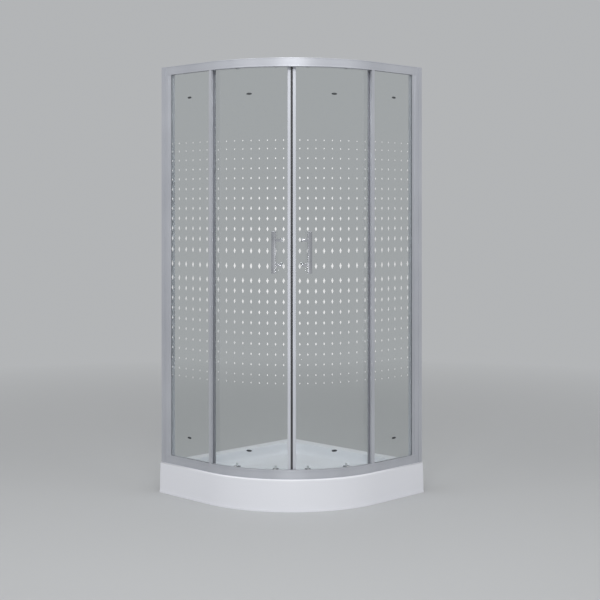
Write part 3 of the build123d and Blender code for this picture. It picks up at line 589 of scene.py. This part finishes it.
# Plain dark ovals, near the top and the foot of each pane
ovals = {
    "size": (0.028, 0.010),
    "sides": 32,
    "thickness": 0.0001,
    "lift": 0.00006,
    "paneX": -0.248,
    "paneHeights": (0.285, 1.888),
    "doorAngle": 22.3,
    "doorHeights": (0.261, 1.888),
}


def addOvals(side, node, spots):
    bm = bmesh.new()
    width, height = ovals["size"]
    for angle, spot in spots:
        shape = facingOut(angle, spot) @ Matrix.Diagonal((width / 2, height / 2, 1, 1))
        bmesh.ops.create_circle(bm, cap_ends=True, segments=ovals["sides"], radius=1, matrix=shape)
    bmesh.ops.solidify(bm, geom=bm.faces[:], thickness=ovals["thickness"])
    putOnSide(bm, side)
    makePiece(side + "_" + node + "_ovals", bm, finishes["ink"], side + "_" + node)


def paneOvals():
    y = -plan["half"] + plan["paneFace"] - ovals["lift"]
    return [(0, Vector((ovals["paneX"], y, z))) for z in ovals["paneHeights"]]


def doorOvals():
    angle = ovals["doorAngle"]
    return [(angle, onCurve(angle, plan["doorFace"] - ovals["lift"], z)) for z in ovals["doorHeights"]]


for side in sides:
    addOvals(side, "fixed_glass", paneOvals())
    addOvals(side, "door_glass", doorOvals())
print("ovals printed")


# Studio: a pale floor that fades into a pale backdrop of the same tone between two distances from the middle,
# and soft lamps, each with its place, size in metres and power in watts. The low one lights the tray's skirt.
studio = {
    "backdrop": (0.45, 0.46, 0.47),
    "floor": (0.48, 0.49, 0.50),
    "floorRadius": 60.0,
    "floorSides": 96,
    "floorRoughness": 0.7,
    "fadeStart": 1.6,
    "fadeEnd": 5.5,
    "ambient": 0.5,
    "lamps": {
        "keyLamp": ((-0.6, -4.6, 4.3), (3.0, 2.0), 50.0),
        "fillLamp": ((4.6, 0.8, 4.3), (3.0, 2.0), 40.0),
        "frontLamp": ((2.6, -2.6, 3.5), (1.4, 1.2), 52.0),
        "topLamp": ((0.4, -0.4, 4.6), (3.0, 3.0), 34.0),
        "lowLamp": ((4.7, -4.7, 0.45), (0.6, 0.6), 24.0),
    },
    "aim": (0.0, 0.0, 0.9),
}


def addFloor():
    bm = bmesh.new()
    bmesh.ops.create_circle(bm, cap_ends=True, segments=studio["floorSides"], radius=studio["floorRadius"])
    mesh = bpy.data.meshes.new("floor")
    bm.to_mesh(mesh)
    bm.free()
    floor = bpy.data.objects.new("floor", mesh)
    scene.collection.objects.link(floor)
    finish, tree, shader = newFinish("studioFloor", studio["floor"], studio["floorRoughness"])
    coords = tree.nodes.new("ShaderNodeTexCoord")
    distance = tree.nodes.new("ShaderNodeVectorMath")
    distance.operation = "LENGTH"
    tree.links.new(coords.outputs["Object"], distance.inputs[0])
    fade = spread(tree, distance.outputs["Value"], 0, 1, studio["fadeStart"], studio["fadeEnd"])
    glow = tree.nodes.new("ShaderNodeEmission")
    glow.inputs["Color"].default_value = (*studio["backdrop"], 1)
    mix = tree.nodes.new("ShaderNodeMixShader")
    tree.links.new(fade, mix.inputs["Fac"])
    tree.links.new(shader.outputs["BSDF"], mix.inputs[1])
    tree.links.new(glow.outputs["Emission"], mix.inputs[2])
    tree.links.new(mix.outputs["Shader"], tree.nodes["Material Output"].inputs["Surface"])
    mesh.materials.append(finish)


def addWorld():
    # the camera, mirrors and glass see the backdrop's tone, and the rest gets the ambient light
    world = bpy.data.worlds.new("studio")
    world.use_nodes = True
    scene.world = world
    tree = world.node_tree
    ambient = tree.nodes["Background"]
    ambient.inputs["Color"].default_value = (1, 1, 1, 1)
    ambient.inputs["Strength"].default_value = studio["ambient"]
    backdrop = tree.nodes.new("ShaderNodeBackground")
    backdrop.inputs["Color"].default_value = (*studio["backdrop"], 1)
    path = tree.nodes.new("ShaderNodeLightPath")
    seen = path.outputs["Is Camera Ray"]
    for ray in ("Is Glossy Ray", "Is Transmission Ray"):
        either = tree.nodes.new("ShaderNodeMath")
        either.operation = "MAXIMUM"
        tree.links.new(seen, either.inputs[0])
        tree.links.new(path.outputs[ray], either.inputs[1])
        seen = either.outputs["Value"]
    mix = tree.nodes.new("ShaderNodeMixShader")
    tree.links.new(seen, mix.inputs["Fac"])
    tree.links.new(ambient.outputs["Background"], mix.inputs[1])
    tree.links.new(backdrop.outputs["Background"], mix.inputs[2])
    tree.links.new(mix.outputs["Shader"], tree.nodes["World Output"].inputs["Surface"])


def addLamps():
    aim = Vector(studio["aim"])
    for name, (place, size, power) in studio["lamps"].items():
        data = bpy.data.lights.new(name, "AREA")
        data.shape = "RECTANGLE"
        data.size, data.size_y = size
        data.energy = power
        lamp = bpy.data.objects.new(name, data)
        scene.collection.objects.link(lamp)
        lamp.location = place
        lamp.rotation_euler = (aim - Vector(place)).to_track_quat("-Z", "Y").to_euler()


addFloor()
addWorld()
addLamps()
scene.view_settings.view_transform = "Standard"
print("studio set")
